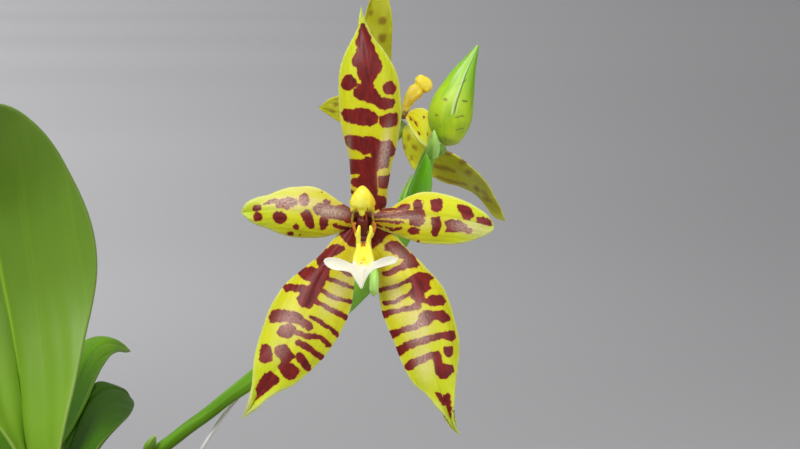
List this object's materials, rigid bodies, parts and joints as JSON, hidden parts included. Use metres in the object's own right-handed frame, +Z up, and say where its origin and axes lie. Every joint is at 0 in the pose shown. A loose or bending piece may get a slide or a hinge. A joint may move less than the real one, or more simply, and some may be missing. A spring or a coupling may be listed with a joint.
{
  "type": "potted orchid in flower",
  "caption": "Small potted orchid: clay pot of bark, broad fleshy leaves and an arching spike of star-shaped yellow-green flowers barred with maroon.",
  "frame": {"origin": "centre of the flat underside of the pot", "axes": "+Z up along the pot's axis, the nearer open flower faces -Y, the flower spike leans towards +X"},
  "size_m": [0.1605, 0.1475, 0.1638],
  "materials": {
    "clay": "matt unglazed clay",
    "bark": "rough dry bark",
    "stem_green": "satin living stem",
    "leaf_green": "waxy satin leaf",
    "root_silver": "dry papery root",
    "galvanised_wire": "dull zinc-coated wire",
    "bud_green": "waxy bud with faint brown specks",
    "bract_green": "thin satin bract",
    "column_yellow": "waxy, maroon beneath",
    "cap_yellow": "waxy bright yellow",
    "lip_cream": "waxy cream with yellow side lobes",
    "tepal_barred": "glossy waxy yellow-green with maroon bars"
  },
  "bodies": {
    "root": {"pot": "clay", "bark_bed": "bark", "bark_chip_1": "bark", "bark_chip_2": "bark", "bark_chip_3": "bark", "bark_chip_4": "bark", "bark_chip_5": "bark", "bark_chip_6": "bark", "bark_chip_7": "bark", "bark_chip_8": "bark", "bark_chip_9": "bark", "bark_chip_10": "bark", "plant_stem": "stem_green", "leaf_1": "leaf_green", "leaf_2": "leaf_green", "leaf_3": "leaf_green", "leaf_4": "leaf_green", "leaf_5": "leaf_green", "leaf_6": "leaf_green", "root_1": "root_silver", "root_2": "root_silver", "root_3": "root_silver", "root_4": "root_silver", "support_wire": "galvanised_wire", "flower_spike": "stem_green", "front_pedicel": "stem_green", "rear_pedicel": "stem_green", "bud_pedicel": "stem_green", "bud": "bud_green", "bract_1": "bract_green", "bract_2": "bract_green", "bract_3": "bract_green", "bract_4": "bract_green", "bract_5": "bract_green", "spike_sheath_1": "bract_green", "front_column": "column_yellow", "front_anther_cap": "cap_yellow", "front_lip": "lip_cream", "front_dorsal_sepal": "tepal_barred", "front_left_lateral_sepal": "tepal_barred", "front_right_lateral_sepal": "tepal_barred", "front_left_petal": "tepal_barred", "front_right_petal": "tepal_barred", "rear_column": "column_yellow", "rear_anther_cap": "cap_yellow", "rear_lip": "lip_cream", "rear_dorsal_sepal": "tepal_barred", "rear_left_lateral_sepal": "tepal_barred", "rear_right_lateral_sepal": "tepal_barred", "rear_left_petal": "tepal_barred", "rear_right_petal": "tepal_barred"}
  },
  "joints": []
}
